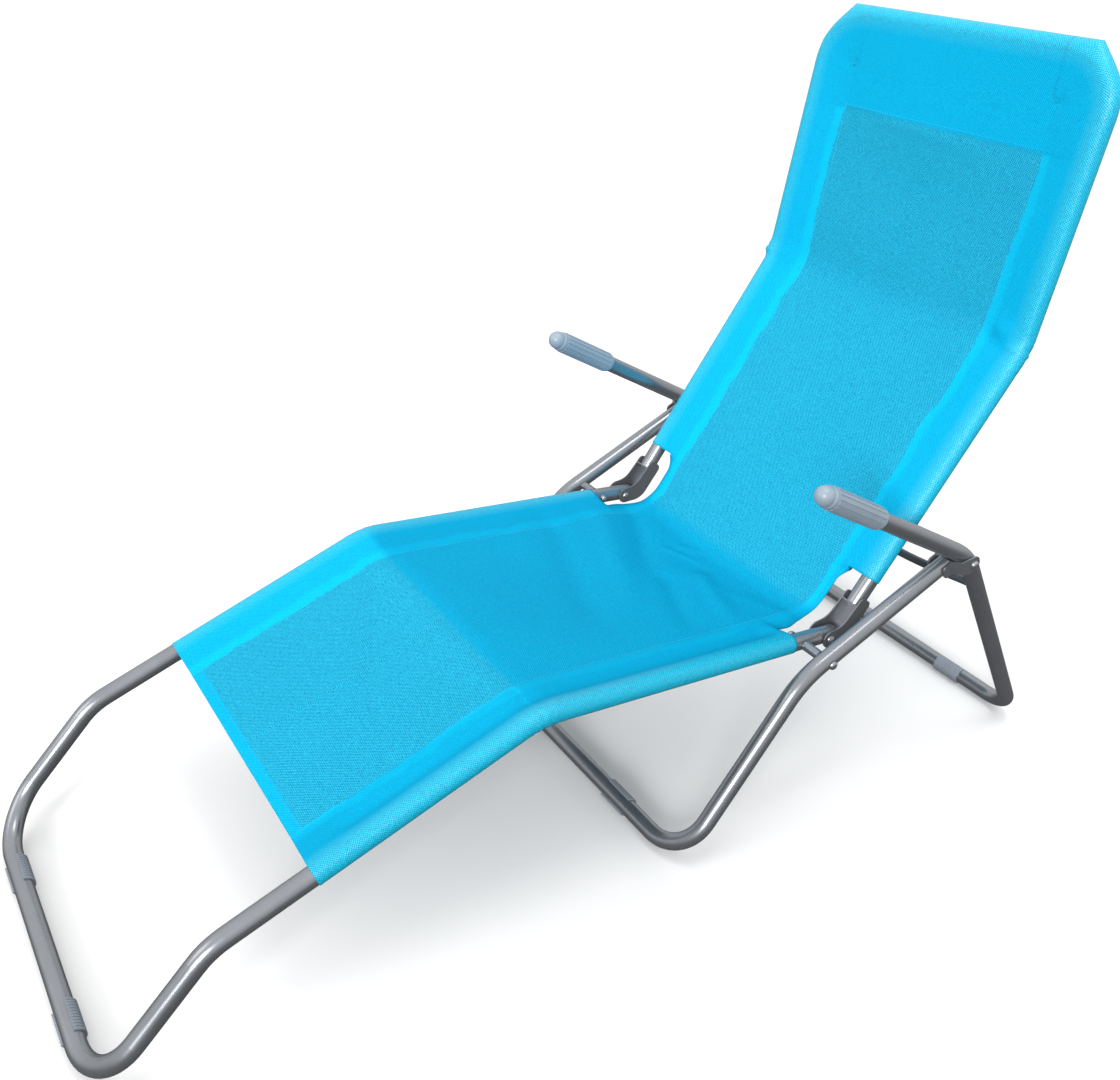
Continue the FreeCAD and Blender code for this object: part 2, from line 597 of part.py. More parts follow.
# ---------------------------------------------------------------- armrest grips
def arm_grip(label, side):
    """A ribbed plastic sleeve with a domed end, pushed over the armrest's tip."""
    tip = Vector(side * size("arm_tip_half_width"), *ARM_TIP)
    bend = Vector(side * REAR_HALF, *ARM_BEND)
    direction = (tip - bend).normalize()
    length, cap = size("grip_length"), size("grip_cap")
    start = tip - direction * (length - cap - CLEAR)
    body = new_body(label + "_body", Placement(start, Rotation(Vector(0, 0, 1), direction)))
    bore, wall, dome = size("grip_bore_radius"), size("grip_radius"), size("grip_dome_radius")
    profile = new_sketch(body, "XZ_Plane", label + "_profile")
    width, taper, rib_height = size("grip_collar_width"), size("grip_rim_taper"), size("grip_rib_height")
    closed_at = length - cap
    collar = closed_at - 2 * rib_height
    dome_foot = collar + width
    corners = [
        Vector(dome, dome_foot, 0), Vector(wall - rib_height, collar + 2 * rib_height, 0),
        Vector(wall, collar, 0), Vector(wall, width, 0),
        Vector(wall - taper, 0, 0), Vector(bore, 0, 0), Vector(bore, closed_at, 0), Vector(0, closed_at, 0),
        Vector(0, length, 0),
    ]
    for a, b in zip(corners, corners[1:]):
        profile.addGeometry(Part.LineSegment(a, b), False)
    swell = Vector(dome * SHOULDER_OUT, dome_foot + (length - dome_foot) * SHOULDER_OUT, 0)
    profile.addGeometry(Part.Arc(corners[-1], swell, corners[0]), False)
    revolve(body, profile, label + "_turned")

    rib_sketch = new_sketch(body, "XY_Plane", label + "_rib")
    rib_sketch.AttachmentOffset = Placement(Vector(0, 0, size("grip_rib_setback")), Rotation())
    half, top = size("grip_rib_width") / 2, wall + rib_height
    root = wall - rib_height
    crest = half * CREST_SHARE
    add_outline(rib_sketch, [(root, -half), (top, -crest), (top, crest), (root, half)])
    rib_length = "sizes.grip_length - sizes.grip_cap - 2 * sizes.grip_rib_setback - sizes.grip_rib_height"
    rib = pad(body, rib_sketch, rib_length, label + "_rib_pad", both_ways=False)
    doc.recompute()
    ribs = body.newObject("PartDesign::PolarPattern", label + "_ribs")
    ribs.Originals = [rib]
    ribs.Axis = (rib_sketch, ["N_Axis"])
    ribs.Angle = 360
    ribs.Occurrences = int(size("grip_rib_count"))
    body.Tip = ribs
    keep(label, body)


for side_name, side in SIDES.items():
    arm_grip("arm_grip_" + side_name, side)


# ---------------------------------------------------------------- sling, in its seat and back halves
def side_wire(points, inset):
    """One face of a bent sheet in the side view, moved by inset along the sheet's left-hand normal."""
    moved = []
    for index, point in enumerate(points):
        before = points[max(index - 1, 0)]
        after = points[min(index + 1, len(points) - 1)]
        normals = []
        for a, b in ((before, point), (point, after)):
            if a != b:
                run = Vector(0, b[0] - a[0], b[1] - a[1]).normalize()
                normals.append(Vector(0, -run.z, run.y))
        mean = (normals[0] + normals[-1]).normalize()
        shift = inset / mean.dot(normals[0])
        moved.append(Vector(0, *point) + mean * shift)
    return moved


def bent_sheet(name, points, radii, half_width):
    """A sheet of one thickness that follows the side view's run, across the whole width."""
    half = size("sheet_thickness") / 2
    turn = [1 if cross > 0 else -1 for cross in (
        (b[0] - a[0]) * (c[1] - b[1]) - (b[1] - a[1]) * (c[0] - b[0])
        for a, b, c in zip(points, points[1:], points[2:]))]
    above = side_wire(points, half)
    below = side_wire(points, -half)
    upper = rounded_edges(above, [radius - sign * half for radius, sign in zip(radii, turn)])
    lower = rounded_edges(below, [radius + sign * half for radius, sign in zip(radii, turn)])
    ends = [Part.LineSegment(above[0], below[0]), Part.LineSegment(above[-1], below[-1])]
    outline = Part.Wire(Part.__sortEdges__([edge.toShape() for edge in upper + lower + ends]))
    sheet_body = doc.addObject("Part::Feature", name)
    sheet_body.Shape = Part.Face(outline).extrude(Vector(2 * half_width, 0, 0))
    sheet_body.Placement = Placement(Vector(-half_width, 0, 0), Rotation())
    return sheet_body


def fuse(name, parts):
    result = doc.addObject("Part::MultiFuse", name)
    result.Shapes = parts
    return result


def seat_sling():
    """The seat and leg half: a sheet between two sleeves, narrower beside the hinges."""
    start = point_on(KNEE, HINGE, pos=size("seat_sleeve_end_pos"))
    end = point_on(FOOT_BEND, KNEE, pos=size("sling_foot_pos"))
    radius = size("knee_bend_radius")
    sleeves, bores = [], []
    for side_name, side in SIDES.items():
        run = [Vector(side * BED, *point) for point in (start, KNEE, end)]
        longer = [Vector(side * BED, *point) for point in (
            point_along(start, KNEE, -OVERCUT), KNEE, point_along(end, KNEE, -OVERCUT))]
        sleeves.append(swept_rod("seat_sleeve_" + side_name, run, [radius], "sleeve_radius"))
        bores.append(swept_rod("seat_sleeve_bore_" + side_name, longer, [radius], "sleeve_bore_radius"))
    wide = bent_sheet("seat_sheet", [start, KNEE, end], [radius], BED)
    tongue_end = point_on(KNEE, HINGE, pos=size("seat_sheet_end_pos"))
    tongue = bent_sheet("seat_sheet_tongue", [tongue_end, start], [], BED - size("notch_depth"))
    whole = fuse("seat_sling_blank", sleeves + [wide, tongue])
    keep("sling_seat", cut("seat_sling_bored", whole, fuse("seat_sling_bores", bores)))


def back_sling():
    """The back half: one sleeve right round the back frame, and the sheet inside it."""
    start = point_along(BACK_END, KINK, size("back_sleeve_start"))
    low = point_along(BACK_END, KINK, size("back_sheet_start"))
    radii = [size("kink_bend_radius"), size("head_corner_radius")]
    run = mirrored_run([(BED, *start), (BED, *KINK), (BED, *HEAD)])
    longer = mirrored_run([(BED, *point_along(start, KINK, -OVERCUT)), (BED, *KINK), (BED, *HEAD)])
    corner_radii = radii + radii[::-1]
    sleeve = swept_rod("back_sleeve", run, corner_radii, "sleeve_radius")
    bore = swept_rod("back_sleeve_bore", longer, corner_radii, "sleeve_bore_radius")
    wide = bent_sheet("back_sheet", [start, KINK, HEAD], radii[:1], BED)
    tongue = bent_sheet("back_sheet_tongue", [low, start], [], BED - size("notch_depth"))

    rise = Vector(0, HEAD[0] - KINK[0], HEAD[1] - KINK[1]).normalize()
    facing = Vector(0, -rise.z, rise.y)
    reach = 50 * OVERCUT
    head = Vector(0, *HEAD)
    corners = [head + X_AXIS * BED, head - X_AXIS * BED,
               head - X_AXIS * BED - rise * reach, head + X_AXIS * BED - rise * reach]
    radius = size("head_corner_radius")
    window = doc.addObject("Part::Feature", "back_window")
    window.Shape = Part.Face(wire_of(corners, [radius, radius, 0, 0], closed=True)).extrude(facing * reach)
    window.Placement = Placement(facing * (-reach / 2), Rotation())
    trimmed = doc.addObject("Part::Common", "back_sheet_trimmed")
    trimmed.Base = wide
    trimmed.Tool = window
    whole = fuse("back_sling_blank", [sleeve, trimmed, tongue])
    keep("sling_back", cut("back_sling_bored", whole, bore))


seat_sling()
back_sling()

# ---------------------------------------------------------------- check and write
doc.recompute()
broken = [item.Name for item in doc.Objects if "Invalid" in item.State or "Error" in item.State]
for label, feature in finished.items():
    shape = feature.Shape
    if shape.isNull() or not shape.isValid() or not shape.Solids:
        broken.append(label)
if broken:
    raise RuntimeError("not sound: " + ", ".join(broken))

for label, feature in finished.items():
    feature.Shape.exportStep("parts/%s.step" % label)
    print("%-24s %8.1f mm3  %d solid(s)" % (label, feature.Shape.Volume, len(feature.Shape.Solids)))
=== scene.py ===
import math

import bpy
from mathutils import Matrix, Vector, noise


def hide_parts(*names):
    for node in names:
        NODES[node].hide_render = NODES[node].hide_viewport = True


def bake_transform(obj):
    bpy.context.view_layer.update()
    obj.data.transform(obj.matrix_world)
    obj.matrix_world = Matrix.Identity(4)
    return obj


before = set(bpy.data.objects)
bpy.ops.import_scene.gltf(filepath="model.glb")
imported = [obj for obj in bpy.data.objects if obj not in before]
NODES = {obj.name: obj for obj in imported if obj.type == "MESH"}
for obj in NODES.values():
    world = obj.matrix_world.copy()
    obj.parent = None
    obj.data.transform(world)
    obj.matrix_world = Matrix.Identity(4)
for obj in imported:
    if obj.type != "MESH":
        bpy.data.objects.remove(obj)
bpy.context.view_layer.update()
MM = 0.001

# ------------------------------------------------------------------ the lounger's side view, in mm
FOOT_EDGE = (-469.0, 212.8)
KNEE = (-174.0, 321.0)
HINGE_CORNER = (328.0, 273.5)
KINK = (584.0, 653.0)
HEAD = (631.0, 1015.0)
SEAT_SLEEVE_END = 236.0
BACK_SLEEVE_HEIGHT = 345.2
BED_HALF = 241.0
CLOTH_TO_TUBE = 13.3
BAND = 65.0
POCKET = 125.0
CORNER_RADIUS = 72.0
CORNER_X = BED_HALF - CORNER_RADIUS
FOOT_HEM = 16.0
SEAM_X = BED_HALF - BAND
KNEE_RADIUS, HINGE_RADIUS, KINK_RADIUS = 110.0, 55.0, 90.0
CLOTH_THICKNESS = 0.8
STEP = 4.2
RUN_STEP = 2
BEFORE_HINGE = 12
TINY = 0.01


# ------------------------------------------------------------------ node helpers
def new_material(name, **inputs):
    """A material, its tree and its shader, with plain values set on the shader's own sockets."""
    material = bpy.data.materials.new(name)
    material.use_nodes = True
    shader = material.node_tree.nodes["Principled BSDF"]
    for key, value in inputs.items():
        shader.inputs[key.replace("_", " ")].default_value = value
    return material, material.node_tree, shader


def node(tree, kind, **settings):
    """A node with values for its sockets or its own properties, by name."""
    made = tree.nodes.new(kind)
    for key, value in settings.items():
        if key in made.inputs:
            made.inputs[key].default_value = value
        else:
            setattr(made, key, value)
    return made


def math_node(tree, operation, first, second=None):
    """One sum or function of sockets or numbers."""
    made = tree.nodes.new("ShaderNodeMath")
    made.operation = operation
    for socket, value in zip(made.inputs, (first, second)):
        if value is None:
            continue
        if isinstance(value, (int, float)):
            socket.default_value = value
        else:
            tree.links.new(value, socket)
    return made.outputs[0]


def mix_colour(tree, factor, first, second, blend="MIX"):
    """The first colour at factor 0, the second at 1."""
    made = tree.nodes.new("ShaderNodeMix")
    made.data_type = "RGBA"
    made.blend_type = blend
    for socket, value in ((made.inputs[0], factor), (made.inputs[6], first), (made.inputs[7], second)):
        if isinstance(value, (int, float, tuple)):
            socket.default_value = value
        else:
            tree.links.new(value, socket)
    return made.outputs[2]


def noise_value(tree, vector, scale, detail=3.0, roughness=0.5):
    made = node(tree, "ShaderNodeTexNoise", Scale=scale, Detail=detail, Roughness=roughness)
    tree.links.new(vector, made.inputs["Vector"])
    return made.outputs[0]


def ranged(tree, value, low, high, start=0.0, end=1.0):
    """A value that runs from start to end, turned into one from low to high, and held there beyond."""
    made = tree.nodes.new("ShaderNodeMapRange")
    for socket, number in zip(made.inputs[1:5], (start, end, low, high)):
        socket.default_value = number
    tree.links.new(value, made.inputs[0])
    return made.outputs[0]


def bump(tree, shader, height, strength, distance):
    made = node(tree, "ShaderNodeBump", Strength=strength, Distance=distance)
    tree.links.new(height, made.inputs["Height"])
    tree.links.new(made.outputs[0], shader.inputs["Normal"])


def object_vector(tree):
    return tree.nodes.new("ShaderNodeTexCoord").outputs["Object"]


# ------------------------------------------------------------------ materials
def shade(base, factor):
    """A colour made darker or paler, with its alpha."""
    return tuple(min(1.0, factor * c) for c in base) + (1.0,)


def weighted_sum(tree, first, first_share, second, second_share):
    return math_node(tree, "ADD", math_node(tree, "MULTIPLY", first, first_share),
                     math_node(tree, "MULTIPLY", second, second_share))


def metal_paint(name, base, metallic, rough, coat=0.25):
    """Paint or bare metal, with faint clouding, fine specks and pale scuffs."""
    cloud_scale, speck_scale, scuff_scale = 14.0, 900.0, 75.0
    dark, pale, scuffed = 0.86, 1.10, 1.55
    scuff_sharpness, scuff_strength = 7.0, 1.8
    smoother, rougher = 0.07, 0.09
    material, tree, shader = new_material(
        name, Metallic=metallic, Coat_Weight=coat, Coat_Roughness=0.22)
    vector = object_vector(tree)
    clouds = noise_value(tree, vector, cloud_scale, 4.0)
    specks = noise_value(tree, vector, speck_scale, 2.0)
    scuffs = noise_value(tree, vector, scuff_scale, 6.0, 0.72)
    worn = math_node(tree, "POWER", scuffs, scuff_sharpness)
    colour = mix_colour(tree, clouds, shade(base, dark), shade(base, pale))
    colour = mix_colour(tree, math_node(tree, "MULTIPLY", worn, scuff_strength), colour, shade(base, scuffed))
    tree.links.new(colour, shader.inputs["Base Color"])
    tree.links.new(ranged(tree, weighted_sum(tree, specks, 0.4, clouds, 0.6), rough - smoother, rough + rougher),
                   shader.inputs["Roughness"])
    bump(tree, shader, specks, 0.04, 0.2 * MM)
    return material


def moulded_plastic(name, base, rough):
    """Plastic with faint clouding and the fine grain of its mould."""
    cloud_scale, grain_scale = 30.0, 1500.0
    dark, pale = 0.88, 1.12
    smoother, rougher = 0.06, 0.10
    material, tree, shader = new_material(name, Metallic=0.0, Specular_IOR_Level=0.5)
    vector = object_vector(tree)
    clouds = noise_value(tree, vector, cloud_scale)
    grain = noise_value(tree, vector, grain_scale, 2.0)
    tree.links.new(mix_colour(tree, clouds, shade(base, dark), shade(base, pale)), shader.inputs["Base Color"])
    tree.links.new(ranged(tree, grain, rough - smoother, rough + rougher), shader.inputs["Roughness"])
    bump(tree, shader, grain, 0.16, 0.2 * MM)
    return material


def past(tree, value, at_mm, blur_mm):
    """1 where a length in metres is past a place given in mm, else 0, with a soft change between."""
    return ranged(tree, value, 0.0, 1.0, (at_mm - blur_mm) * MM, (at_mm + blur_mm) * MM)


def turned_down(tree, value):
    """1 where the value is 0, and 0 where it is 1."""
    return math_node(tree, "SUBTRACT", 1.0, value)


def sling_cloth():
    """A woven mesh: two yarn directions, darker gaps between them, a deeper colour where it lies double, painted shade
    on the seat and beside the near leg band, and a painted sheen on the sleeves.
    """
    # Linear colours: two of each, which a broad noise mixes.
    single_ply = (0.036, 0.245, 0.465, 1.0), (0.054, 0.300, 0.545, 1.0)
    # The next pair is painted shade for the seat and the near band beside the leg.
    seat_painted_shade = (0.000, 0.215, 0.490, 1.0), (0.000, 0.270, 0.580, 1.0)
    double_ply = (0.000, 0.415, 0.770, 1.0), (0.000, 0.470, 0.850, 1.0)
    # The first colour is a painted sheen on the sleeves, where the cloth is pulled round its tube.
    sleeve_painted_sheen, strip_tint, gap_tint = (0.004, 0.640, 0.780, 1.0), (0.000, 0.660, 0.980, 1.0), (0.02, 0.36, 0.50, 1.0)
    faint_yarn, clear_yarn = (0.000, 0.700, 0.980, 1.0), (0.016, 0.730, 0.920, 1.0)
    sleeve_sheen_share, yarn_share, weave_share, near_band_shade_share = 0.45, 0.62, 0.68, 0.8
    # Lengths in mm, and noise scales per metre.
    seam_wander, hem_wander, strip_width, weave_pitch = 22, 12, 15, 3.3
    wander_scale, broad_scale, speckle_scale = 16.0, 6.0, 430.0
    # How much of the weave shows on the seat, on the back and where the cloth is double.
    lost_on_seat, lost_on_back, left_on_double = 0.45, 0.05, 0.62
    # Shader values where the cloth hangs free, and where it is pulled taut round a tube.
    free_roughness, taut_roughness = 0.62, 0.27
    free_specular, taut_specular = 0.03, 0.42

    material, tree, shader = new_material("sling_mesh_cloth", Metallic=0.0)
    split = tree.nodes.new("ShaderNodeSeparateXYZ")
    uv = tree.nodes.new("ShaderNodeUVMap")
    uv.uv_map = "cloth"
    tree.links.new(uv.outputs[0], split.inputs[0])
    across_bed, length = split.outputs[0], split.outputs[1]
    width = math_node(tree, "ABSOLUTE", across_bed)
    vector = object_vector(tree)
    taut = tree.nodes.new("ShaderNodeAttribute")
    taut.attribute_name = "taut"
    taut = taut.outputs["Fac"]

    wander = math_node(tree, "SUBTRACT", noise_value(tree, vector, wander_scale, 3.0, 0.6), 0.5)
    edge = math_node(tree, "ADD", width, math_node(tree, "MULTIPLY", wander, seam_wander * MM))
    hem_line = math_node(tree, "ADD", length, math_node(tree, "MULTIPLY", wander, hem_wander * MM))
    band = past(tree, edge, SEAM_X, 1.0)
    head = past(tree, hem_line, S_POCKET, 1.0)
    hem = turned_down(tree, past(tree, length, FOOT_HEM, 0.8))
    double = math_node(tree, "MAXIMUM", band, math_node(tree, "MAXIMUM", head, hem))
    strip = math_node(tree, "SUBTRACT", band, past(tree, edge, SEAM_X + strip_width, 4.0))
    strip = math_node(tree, "MULTIPLY", strip, turned_down(tree, head))
    beyond_knee = past(tree, length, S_KNEE + 2, 5.0)
    back = past(tree, hem_line, S_CORNER + 8, 9.0)
    # Where the painted shade lies: the seat, and at a share the near band beside the leg.
    beside_leg = math_node(tree, "MULTIPLY", past(tree, across_bed, SEAM_X, 5.0), turned_down(tree, beyond_knee))
    seat = math_node(tree, "MAXIMUM", math_node(tree, "SUBTRACT", beyond_knee, back),
                     math_node(tree, "MULTIPLY", beside_leg, near_band_shade_share))

    broad = noise_value(tree, vector, broad_scale)
    colour = mix_colour(tree, double, mix_colour(tree, broad, *single_ply), mix_colour(tree, broad, *double_ply))
    # Painted shade: a deeper, darker blue over the seat and beside the near leg band.
    colour = mix_colour(tree, seat, colour, mix_colour(tree, broad, *seat_painted_shade))
    # Painted sheen on the sleeves, laid where the cloth is taut round its tube.
    colour = mix_colour(tree, math_node(tree, "MULTIPLY", taut, sleeve_sheen_share), colour, sleeve_painted_sheen)
    # The pale strip inside each seam is the cloth's own colour; it fades where the seat's painted shade lies.
    colour = mix_colour(tree, math_node(tree, "MULTIPLY", strip, ranged(tree, seat, 0.75, 0.25)), colour, strip_tint)

    turn = 2 * math.pi / (weave_pitch * MM)
    across = math_node(tree, "SINE", math_node(tree, "MULTIPLY", width, turn))
    along = math_node(tree, "SINE", math_node(tree, "MULTIPLY", length, turn))
    weave = ranged(tree, math_node(tree, "MULTIPLY", across, along), 0.0, 1.0, -0.55, 0.55)
    speckle = ranged(tree, noise_value(tree, vector, speckle_scale, 2.0, 0.6), 0.0, 1.0, 0.32, 0.68)
    grain = weighted_sum(tree, weave, weave_share, speckle, 1 - weave_share)
    clear = turned_down(tree, math_node(tree, "MULTIPLY", seat, lost_on_seat))
    clear = math_node(tree, "SUBTRACT", clear, math_node(tree, "MULTIPLY", back, lost_on_back))
    clear = math_node(tree, "MULTIPLY", clear, ranged(tree, double, 1.0, left_on_double))
    clear = math_node(tree, "MAXIMUM", clear, taut)
    grain = math_node(tree, "MULTIPLY", math_node(tree, "SUBTRACT", grain, 0.5), clear)
    grain = math_node(tree, "ADD", 0.5, grain)
    gap = mix_colour(tree, 1.0, colour, gap_tint, "MULTIPLY")
    yarn = mix_colour(tree, yarn_share, colour, mix_colour(tree, clear, faint_yarn, clear_yarn))
    tree.links.new(mix_colour(tree, grain, gap, yarn), shader.inputs["Base Color"])
    tree.links.new(ranged(tree, taut, free_roughness, taut_roughness), shader.inputs["Roughness"])
    tree.links.new(ranged(tree, taut, free_specular, taut_specular), shader.inputs["Specular IOR Level"])
    bump(tree, shader, grain, 0.6, 0.5 * MM)
    return material


def thread():
    """Twisted sewing thread."""
    twist_scale = 1800.0
    dark, pale = (0.000, 0.40, 0.74, 1.0), (0.006, 0.50, 0.86, 1.0)
    material, tree, shader = new_material("stitch_thread", Metallic=0.0, Sheen_Weight=0.3)
    twist = noise_value(tree, object_vector(tree), twist_scale, 2.0)
    tree.links.new(mix_colour(tree, twist, dark, pale), shader.inputs["Base Color"])
    tree.links.new(ranged(tree, twist, 0.45, 0.70), shader.inputs["Roughness"])
    bump(tree, shader, twist, 0.3, 0.1 * MM)
    return material


PAINT = metal_paint("frame_satin_paint", (0.275, 0.290, 0.315), metallic=0.78, rough=0.27, coat=0.35)
FITTING = metal_paint("fitting_dark_paint", (0.190, 0.200, 0.218), metallic=0.58, rough=0.30)
STEEL = metal_paint("fastener_metal", (0.42, 0.43, 0.45), metallic=0.92, rough=0.28, coat=0.0)
CLIP = moulded_plastic("clip_plastic", (0.235, 0.268, 0.315), rough=0.30)
# The cross tube's near-black is painted shade, for the shadow it lies in under the back.
CROSS_TUBE_PAINTED_SHADE = metal_paint("cross_tube_painted_shade", (0.095, 0.100, 0.112), metallic=0.40, rough=0.42)
# Part of the grip plastic's blue tint is a painted reflection of the blue sling.
GRIP = moulded_plastic("grip_plastic", (0.265, 0.330, 0.395), rough=0.33)
THREAD = thread()


# ------------------------------------------------------------------ the cloth's run in the side view
def rounded_run(corners, radii):
    """Points about RUN_STEP apart along a run with rounded corners, with their distance along it."""
    points = [Vector(corners[0])]
    for before, corner, after, radius in zip(corners, corners[1:], corners[2:], radii):
        corner, into, out = Vector(corner), Vector(corner) - Vector(before), Vector(after) - Vector(corner)
        into.normalize()
        out.normalize()
        angle = math.acos(max(-1.0, min(1.0, into.dot(out))))
        tangent = radius * math.tan(angle / 2)
        first, last = corner - into * tangent, corner + out * tangent
        centre = corner + (out - into).normalized() * (radius / math.cos(angle / 2))
        count = max(6, int(radius * angle / RUN_STEP))
        for k in range(count + 1):
            share = k / count
            turned = (first - centre) * math.sin((1 - share) * angle) + (last - centre) * math.sin(share * angle)
            points.append(centre + turned / math.sin(angle))
    points.append(Vector(corners[-1]))
    fine = [points[0]]
    for a, b in zip(points, points[1:]):
        steps = max(1, int((b - a).length / RUN_STEP))
        fine += [a.lerp(b, k / steps) for k in range(1, steps + 1)]
    lengths = [0.0]
    for a, b in zip(fine, fine[1:]):
        lengths.append(lengths[-1] + (b - a).length)
    return fine, lengths


RUN, RUN_LENGTH = rounded_run([FOOT_EDGE, KNEE, HINGE_CORNER, KINK, HEAD], [KNEE_RADIUS, HINGE_RADIUS, KINK_RADIUS])
S_HEAD = RUN_LENGTH[-1]


def at(s):
    """The (y, z) point and the unit tangent of the run at a distance s; the run goes on straight past its ends."""
    if s >= S_HEAD:
        tangent = (RUN[-1] - RUN[-2]).normalized()
        return RUN[-1] + tangent * (s - S_HEAD), tangent
    low, high = 0, len(RUN) - 1
    while high - low > 1:
        middle = (low + high) // 2
        if RUN_LENGTH[middle] <= s:
            low = middle
        else:
            high = middle
    point = RUN[low].lerp(RUN[high], (s - RUN_LENGTH[low]) / (RUN_LENGTH[high] - RUN_LENGTH[low]))
    points_around = 4
    first, last = max(0, low - points_around), min(len(RUN) - 1, high + points_around)
    return point, (RUN[last] - RUN[first]).normalized()


def place(s, x, height):
    """A point at a distance s along the run, x across, and a height off it towards the sitter, in metres."""
    point, tangent = at(s)
    return Vector((x, point.x - tangent.y * height, point.y + tangent.x * height)) * MM


def station(test):
    """The distance along the run of the first point that passes a test."""
    return next(length for point, length in zip(RUN, RUN_LENGTH) if test(point))


S_SEAT_END = station(lambda p: p.x >= SEAT_SLEEVE_END)
S_BACK_START = station(lambda p: p.x > HINGE_CORNER[0] and p.y >= BACK_SLEEVE_HEIGHT)
S_KNEE = station(lambda p: p.x >= KNEE[0])
S_KINK = station(lambda p: p.y >= KINK[1])
S_CORNER = station(lambda p: p.x >= HINGE_CORNER[0] - BEFORE_HINGE)
S_HEAD_SEAM = S_HEAD - BAND
S_HEAD_CORNER = S_HEAD - CORNER_RADIUS
S_POCKET = S_HEAD - POCKET

CLOTH = sling_cloth()
for name, piece in NODES.items():
    if "rivet" in name or "bolt" in name or "nut" in name:
        chosen = STEEL
    elif "clip" in name:
        chosen = CLIP
    elif "grip" in name:
        chosen = GRIP
    elif name == "rear_cross_tube":
        chosen = CROSS_TUBE_PAINTED_SHADE
    elif "channel" in name or "fork" in name:
        chosen = FITTING
    elif "sling" in name:
        chosen = CLOTH
    else:
        chosen = PAINT
    piece.data.materials.clear()
    piece.data.materials.append(chosen)


def smooth(value, low, high):
    """0 below one value, 1 above another, and a smooth step between."""
    t = max(0.0, min(1.0, (value - low) / (high - low)))
    return t * t * (3 - 2 * t)


def bell(value, width):
    """1 at nought, falling to both sides."""
    return math.exp(-(value / width) ** 2)


# Creases: s and x at the start, s and x at the end, height and half width, all in mm.
CREASES = [
    (S_CORNER - 66, -66, S_CORNER - 38, 4, 1.6, 6.0),
    (S_CORNER - 40, -58, S_CORNER - 14, -18, 1.3, 6.0),
    (S_CORNER + 6, -185, S_CORNER - 2, 175, 1.6, 12.0),
    (S_CORNER + 74, 40, S_CORNER + 50, 112, 0.7, 7.0),
    (S_CORNER + 62, 34, S_CORNER + 36, 96, -0.5, 8.0),
    (S_CORNER - 30, -188, S_CORNER - 130, -10, -5.5, 18.0),
    (S_CORNER - 95, -190, S_CORNER - 215, 60, 5.5, 24.0),
    (S_CORNER - 190, -185, S_CORNER - 300, 90, -5.0, 28.0),
    (S_CORNER - 60, 20, S_CORNER - 120, 170, 4.0, 16.0),
    (S_CORNER - 110, 0, S_CORNER - 190, 165, -4.0, 18.0),
    (S_CORNER - 26, 190, S_CORNER - 70, 60, 1.2, 12.0),
    (S_CORNER + 30, 186, S_CORNER + 62, 96, 0.8, 12.0),
    (S_KNEE - 30, 20, S_KNEE - 62, 42, 1.8, 4.5),
    (S_KNEE - 20, -150, S_KNEE - 150, 60, -4.0, 24.0),
    (S_KNEE - 16, -165, S_KNEE - 16, 165, 1.6, 11.0),
    (S_POCKET - 6, -120, S_POCKET - 18, 90, 1.2, 9.0),
]
# The shares along a crease at which it comes and goes.
CREASE_BEGINS, CREASE_IS_FULL = -0.05, 0.12
CREASE_FADES, CREASE_ENDS = 0.55, 1.2
CREASE_WANDER = 3.0


def crease_height(s, x):
    """The height of all creases together at a point."""
    total = 0.0
    for s0, x0, s1, x1, height, width in CREASES:
        start = Vector((s0, x0))
        run, from_start = Vector((s1, x1)) - start, Vector((s, x)) - start
        share = from_start.dot(run) / run.length_squared
        if CREASE_BEGINS < share < CREASE_ENDS:
            off = from_start - run * share
            wander = CREASE_WANDER * noise.noise(Vector((share * 3.0, s0 * 0.01, x0 * 0.01)))
            side = off.x * run.y - off.y * run.x
            distance = math.copysign(off.length, side) + wander
            fade = smooth(share, CREASE_BEGINS, CREASE_IS_FULL) * (1 - smooth(share, CREASE_FADES, CREASE_ENDS))
            total += height * fade * bell(distance, width)
    return total


def stretch(s, start, full, fading, end):
    """1 along a stretch of the run, rising from start to full and falling from fading to end."""
    return smooth(s, start, full) * (1 - smooth(s, fading, end))


LEG_SAG, SEAT_SAG, LOW_BACK_SAG, HIGH_BACK_SAG = 5.0, 9.0, 6.0, 4.0
BROAD_RIPPLE, SMALL_RIPPLE = 0.9, 0.35


def sag(s, x):
    """How far the free cloth between the two side bands leaves the plane of its tubes."""
    share = max(0.0, 1 - (x / SEAM_X) ** 2)
    seat = LEG_SAG * stretch(s, 60, S_KNEE - 40, S_KNEE - 30, S_KNEE + 30)
    seat += SEAT_SAG * stretch(s, S_KNEE + 40, S_KNEE + 220, S_CORNER - 60, S_CORNER + 50)
    back = LOW_BACK_SAG * stretch(s, S_CORNER + 80, S_KINK - 120, S_KINK - 60, S_KINK + 20)
    back += HIGH_BACK_SAG * stretch(s, S_KINK + 30, S_KINK + 160, S_POCKET - 90, S_POCKET)
    ripple = BROAD_RIPPLE * noise.noise(Vector((x * 0.011, s * 0.006, 3.1)))
    ripple += SMALL_RIPPLE * noise.noise(Vector((x * 0.035, s * 0.018, 8.4)))
    return -(seat + back) * share + ripple * (0.35 + 0.65 * share)


def pucker(s):
    """Small gathers in the sleeve where its tube bends."""
    knee_height, knee_reach, knee_pitch = 1.2, 36, 13
    kink_height, kink_reach, kink_pitch = 1.8, 20, 11
    knee = knee_height * bell(s - S_KNEE, knee_reach) * math.sin((s - S_KNEE) * 2 * math.pi / knee_pitch)
    kink = kink_height * bell(s - S_KINK + 6, kink_reach) * math.sin((s - S_KINK) * 2 * math.pi / kink_pitch)
    return knee + kink


